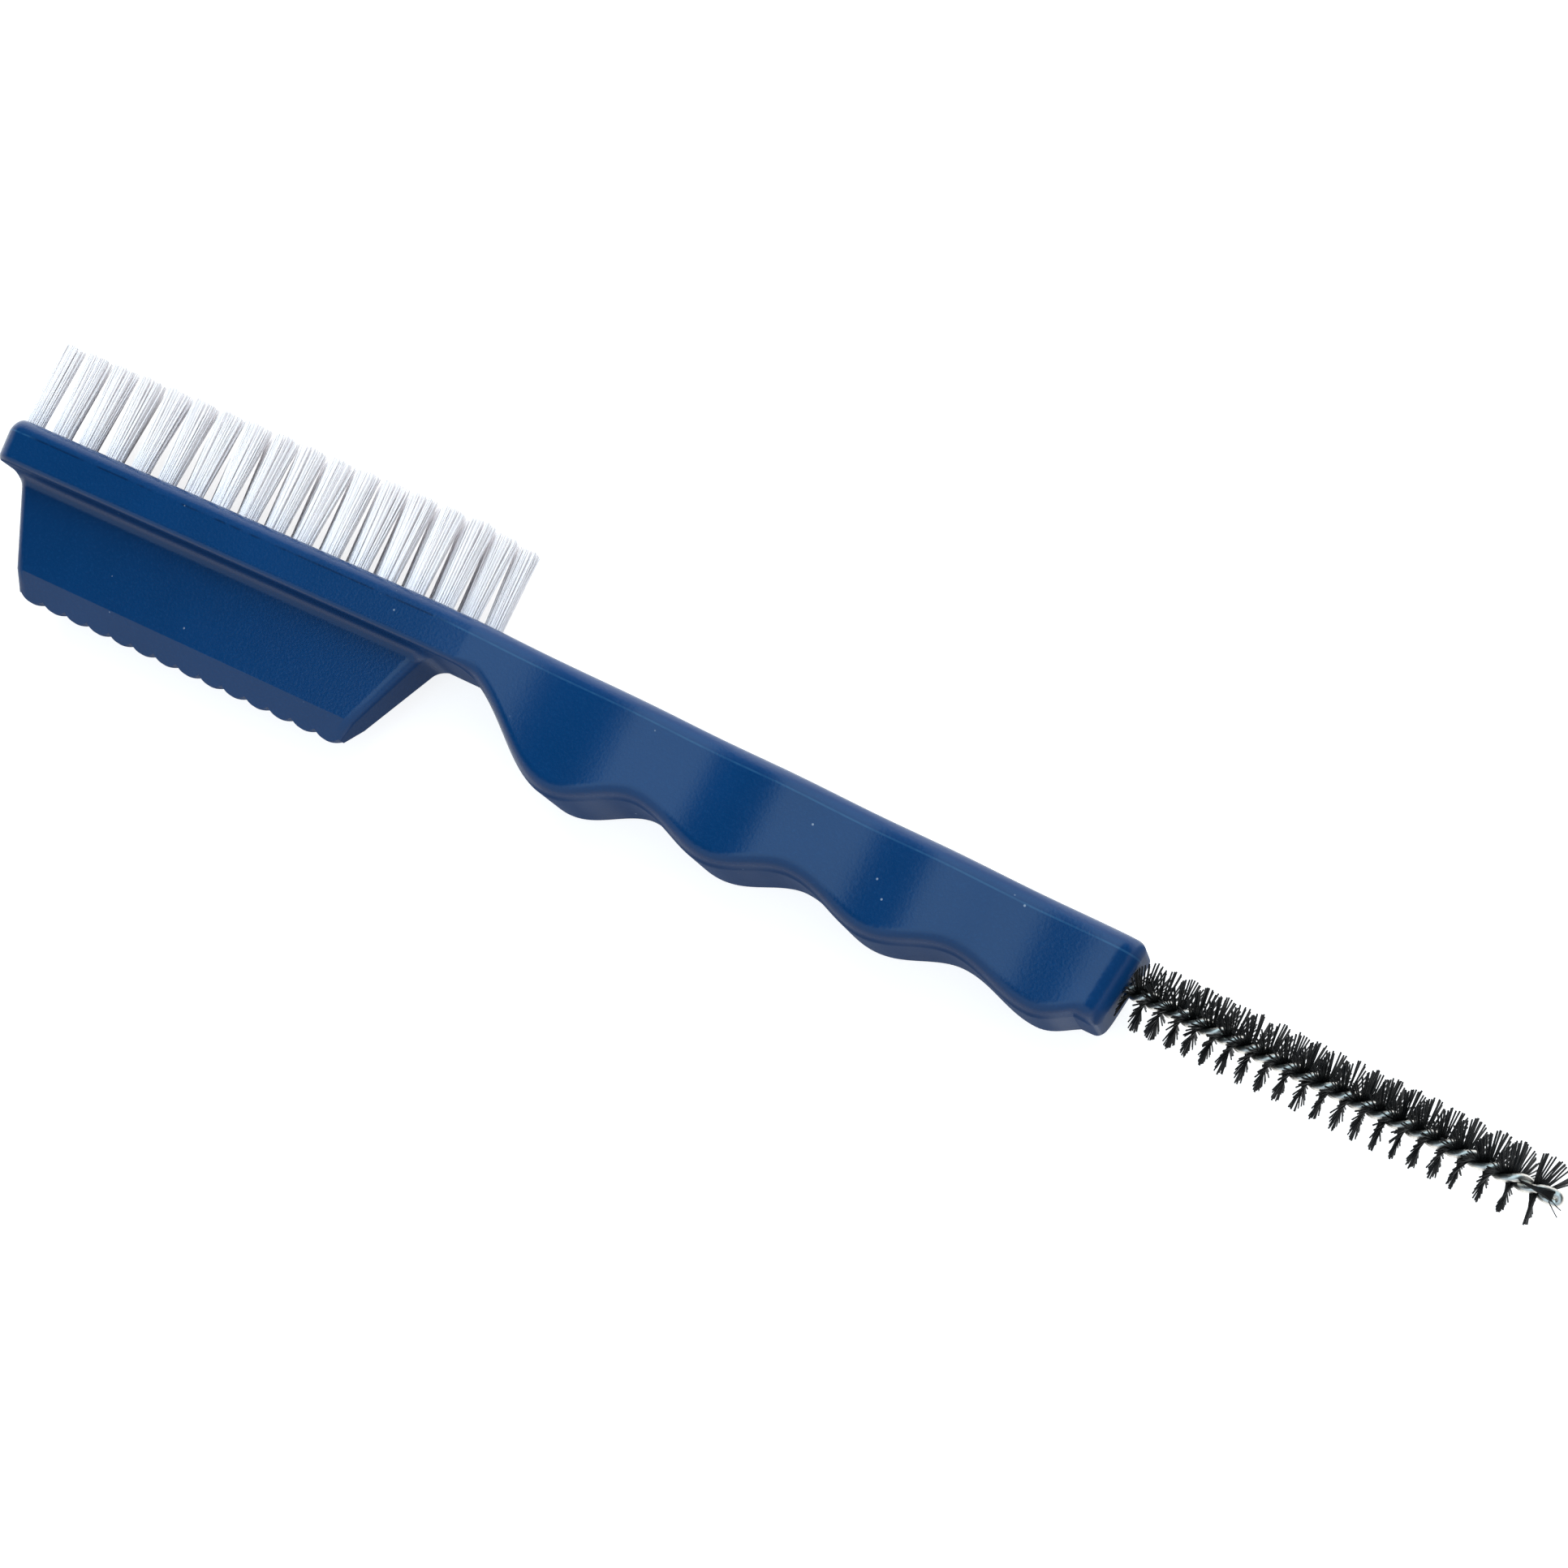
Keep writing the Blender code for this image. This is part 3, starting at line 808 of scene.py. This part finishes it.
nylon = whiteNylon()
draw = random.Random(11)
strand = makeStrand()
kinds = [makeTuft(strand, spread, draw) for spread in strandSizes["tipSpreads"]]
headTurn = Matrix.Rotation(headTilt, 4, "Z")
for name, column, along, side in tuftPlaces():
    # The narrowest kind stands at the head's end
    kind = kinds[draw.randrange(1, len(kinds)) if column else 0]
    tuft = dropInScene("bristles_" + name[5:], kind.data.copy())
    spot = Matrix.Translation((along, 0, side))
    lean = strandSizes["lastLean"] * column / (tuftSizes["columns"] - 1)
    lean += draw.gauss(0, strandSizes["stray"]) if column else 0
    tip = draw.gauss(0, strandSizes["stray"])
    lean = Matrix.Rotation(lean, 4, "Z") @ Matrix.Rotation(tip, 4, "X")
    spin = Matrix.Rotation(draw.uniform(0, 2 * math.pi), 4, "Y")
    tuft.data.transform(Matrix.Translation(joint) @ headTurn @ spot @ lean @ spin)
    for point in tuft.data.vertices:
        # No tip stands out past the head's end or above the measured height
        point.co.x = max(point.co.x, cadBox[0][0])
        point.co.y = min(point.co.y, cadBox[1][1])
    tuft.data.materials.clear()
    tuft.data.materials.append(nylon)
    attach(tuft, "root")
    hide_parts(name)
for item in kinds + [strand]:
    bpy.data.objects.remove(item, do_unlink=True)
print("tufts planted")


# Black filaments in the twist

spiralSizes = {
    "diameter": 0.0090,
    "thickness": 0.00022,
    "sides": 4,
    "spacing": 0.00008,
    "first": 0.0003,
    "last": 0.0531,
    "perClump": 5,
    "sway": math.radians(4),
    "swayInClump": math.radians(1.5),
    "lean": math.radians(1.4),
    "trim": 0.10,
    "bow": 0.00010,
    # How far a tip is shifted back along the wire for each millimetre that it stands to the front
    "slants": ((0, 0.34), (0.026, 0.31), (0.045, 0.42), (0.055, 0.50)),
    "splay": 0.0012,
    "splayFrom": 0.0512,
    # Past the first place, those that stand this far to the front lie on the wire, up to the second
    "laidFrom": 0.0498,
    "laidFront": 0.45,
    "laidTo": 0.0541,
    "laidHeight": 0.00102,
    "clear": 0.00015,
    # Two loose hairs under the nose: foot and tip from the start of the wire
    "hairs": (
        ((0.0538, -0.0007, 0.0006), (0.05535, -0.0020, 0.0010)),
        ((0.0541, -0.0005, 0.0007), (0.0554, -0.0011, 0.0012)),
    ),
    "hairShare": 0.6,
}


def makeArm():
    s = spiralSizes
    startPiece("one black filament")
    long = s["diameter"] / 2
    bpy.ops.mesh.primitive_cylinder_add(vertices=s["sides"], radius=s["thickness"] / 2,
                                        depth=long, location=(0, long / 2, 0),
                                        rotation=(math.radians(-90), 0, 0))
    arm = named("arm")
    placeInMesh(arm)
    editing(arm)
    bpy.ops.mesh.select_all(action="SELECT")
    bpy.ops.mesh.bisect(plane_co=(0, long * 0.5, 0), plane_no=(0, 1, 0))
    bpy.ops.object.mode_set(mode="OBJECT")
    return arm


def slantAt(along):
    stops = spiralSizes["slants"]
    for (low, first), (high, second) in zip(stops, stops[1:]):
        if along <= high:
            return first + (second - first) * (along - low) / (high - low)
    return stops[-1][1]


def isLaid(along, angle):
    return along > spiralSizes["laidFrom"] and math.sin(angle) > spiralSizes["laidFront"]


def armTip(along, angle, lean, draw):
    # Where a filament that leaves the wire at this angle ends, from its own foot
    s = spiralSizes
    length = s["diameter"] / 2 * (1 - s["trim"] * draw.random() ** 2)
    across = Vector((0, math.cos(angle), math.sin(angle)))
    way = across + Vector((lean - slantAt(along) * across.z, 0, 0))
    tip = way.normalized() * length
    if along > s["splayFrom"]:
        tip.x += s["splay"] * (along - s["splayFrom"]) / (s["last"] - s["splayFrom"])
    if isLaid(along, angle):
        # Pushed forward, flat on the wire
        tip = Vector((0.9, across.y * 0.16, draw.uniform(-0.02, 0.04))) * length
        tip.x = min(tip.x, s["laidTo"] + draw.uniform(-0.0003, 0) - along)
    least = s["clear"] + max(0, math.tan(mouldSizes["gripEndRake"]) * tip.y)
    tip.x = min(max(tip.x, least - along), stemSizes["reach"] - s["thickness"] - along)
    return tip


def makeSpiral():
    s = spiralSizes
    arm = makeArm()
    shape = [point.co.copy() for point in arm.data.vertices]
    faces = [tuple(face.vertices) for face in arm.data.polygons]
    bpy.data.objects.remove(arm, do_unlink=True)
    draw = random.Random(5)
    points, sides, shades = [], [], []
    count = round((s["last"] - s["first"]) / s["spacing"])

    def plant(foot, tip, thin=1):
        # One filament from its foot to its tip
        turn = Vector((0, 1, 0)).rotation_difference(tip).to_matrix()
        long = tip.length / (s["diameter"] / 2)
        bow = draw.uniform(-1, 1) * s["bow"]
        shade = draw.random()
        first = len(points)
        for co in shape:
            share = co.y / (s["diameter"] / 2)
            bent = bow * 4 * share * (1 - share)
            place = turn @ Vector((co.x * thin + bent, co.y * long, co.z * thin))
            points.append(stemFoot + foot + place)
            shades.append(shade)
        sides.extend(tuple(first + k for k in face) for face in faces)

    for foot, tip in s["hairs"]:
        plant(Vector(foot), Vector(tip) - Vector(foot), s["hairShare"])
    for i in range(count):
        along = s["first"] + (s["last"] - s["first"]) * (i + draw.random()) / count
        if i % s["perClump"] == 0:
            clumps = [(draw.gauss(0, s["sway"]), draw.gauss(0, s["lean"])) for _ in range(2)]
        for half, (sway, lean) in enumerate(clumps):
            angle = twistAngle(along) + math.pi / 2 + half * math.pi
            angle += sway + draw.gauss(0, s["swayInClump"])
            tip = armTip(along, angle, lean + draw.gauss(0, s["lean"]), draw)
            height = s["laidHeight"] if isLaid(along, angle) else 0
            plant(Vector((along, 0, height)), tip)
    startPiece("black filaments")
    mesh = bpy.data.meshes.new("spiralFilaments")
    mesh.from_pydata(points, [], sides)
    piece = dropInScene("spiralFilaments", mesh)
    markShade(mesh, shades)
    pickOnly(piece)
    bpy.ops.object.shade_smooth_by_angle(angle=math.radians(100))
    return piece


def blackNylon():
    material, shader, place = newFinish("blackNylon", Specular_IOR_Level=0.25)
    shade = place.put("ShaderNodeAttribute", {"attribute_name": "strandShade"}, {}, 2)
    colour = shade.blend((0.003, 0.003, 0.0035, 1), (0.012, 0.0115, 0.011, 1))
    colour.to(shader.inputs["Base Color"])
    (0.34 + 0.2 * noise(place, 1500, 1)).to(shader.inputs["Roughness"])
    return material


spiral = makeSpiral()
spiral.data.materials.append(blackNylon())
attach(spiral, "root")
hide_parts("spiral_bristles")


# Floor, light and camera

stageSizes = {
    "floor": 3.0,
    "floorSpot": (0.08, 0, -0.00002),
    "floorTone": 0.50,
    "floorGlow": 0.80,
    "pale": (0.90, 0.91, 0.93, 1),
    "dark": (0.02, 0.025, 0.03, 1),
    "panel": (0.82, 1.13, 1.32, 1),
    "wall": (0.54, 0.68, 0.80, 1),
    # Name, direction and power of each lamp
    "lamps": (("softLamp", (-0.25, 0.74, 0.63), 9.8), ("fillLamp", (0.60, 0.30, 0.74), 3.0)),
    "lampReach": 0.9,
    "lampSize": 1.0,
    "distance": 0.3216,
    "side": math.radians(16.5),
    "below": math.radians(6.5),
    "slope": math.radians(25.9),
    "lens": 58.3,
    "aim": (0.08436, 0.0038, 0.0075),
}


def makeFloor():
    s = stageSizes
    startPiece("floor")
    bpy.ops.mesh.primitive_plane_add(size=s["floor"], location=s["floorSpot"])
    floor = named("floor")
    material, shader, _ = newFinish("paper", Base_Color=(*[s["floorTone"]] * 3, 1), Roughness=0.9,
                                    Specular_IOR_Level=0.0, Emission_Strength=1.0)
    # Seen by the camera or in a reflection, the paper also shines a little, so that it is white
    tree = material.node_tree
    path = tree.nodes.new("ShaderNodeLightPath")
    seen = Tone(tree, path.outputs["Is Camera Ray"]) + Tone(tree, path.outputs["Is Glossy Ray"])
    seen = seen + Tone(tree, path.outputs["Is Transmission Ray"])
    shine = seen.blend((0, 0, 0, 1), (*[s["floorGlow"]] * 3, 1))
    shine.to(shader.inputs["Emission Color"])
    floor.data.materials.append(material)


def makeLight():
    # The room: pale walls and a dark ceiling with one bright panel
    s = stageSizes
    world = bpy.data.worlds.new("studio")
    bpy.context.scene.world = world
    world.use_nodes = True
    tree = world.node_tree
    way = Tone(tree, tree.nodes.new("ShaderNodeTexCoord").outputs["Generated"])
    panel = way.part("X").above(-0.42, 0.11) * (1 - way.part("X").above(0.18, 0.14))
    ceiling = panel.blend(s["dark"], s["panel"])
    low = (way.part("Y") * -1).above(0.30, 0.20)
    left = (way.part("X") * -1).above(0.80, 0.12)
    walls = (1 - (1 - low) * (1 - left)).blend(ceiling, s["wall"])
    sky = way.part("Z").above(0.20, 0.25).blend(s["pale"], walls)
    sky.to(tree.nodes["Background"].inputs["Color"])
    # A soft lamp from the tufts' side, and a weak one from the wire's end
    for name, toward, power in s["lamps"]:
        lamp = bpy.data.lights.new(name, "AREA")
        lamp.shape = "SQUARE"
        lamp.size = s["lampSize"]
        lamp.energy = power
        item = dropInScene(name, lamp)
        toLamp = Vector(toward).normalized()
        item.location = Vector(s["aim"]) + toLamp * s["lampReach"]
        item.rotation_mode = "QUATERNION"
        item.rotation_quaternion = (-toLamp).to_track_quat("-Z", "Y")
        item.visible_glossy = False


def makeCamera():
    s = stageSizes
    level = math.cos(s["below"])
    back = Vector((math.sin(s["side"]) * level, -math.sin(s["below"]), math.cos(s["side"]) * level))
    lens = bpy.data.cameras.new("camera")
    lens.sensor_width = 36
    lens.lens = s["lens"]
    lens.clip_start = 0.01
    camera = dropInScene("camera", lens)
    camera.location = Vector(s["aim"]) + back * s["distance"]
    camera.rotation_mode = "QUATERNION"
    facing = (-back).to_track_quat("-Z", "Y")
    right, up = facing @ Vector((1, 0, 0)), facing @ Vector((0, 1, 0))
    roll = Matrix.Rotation(s["slope"] - math.atan2(-up.x, right.x), 3, "Z")
    camera.rotation_quaternion = facing @ roll.to_quaternion()
    bpy.context.scene.camera = camera


makeFloor()
makeLight()
makeCamera()
bpy.context.scene.view_settings.view_transform = "Standard"
# Light passes between the white filaments many times
bpy.context.scene.cycles.diffuse_bounces = 16
bpy.context.scene.cycles.max_bounces = 20

print("done")
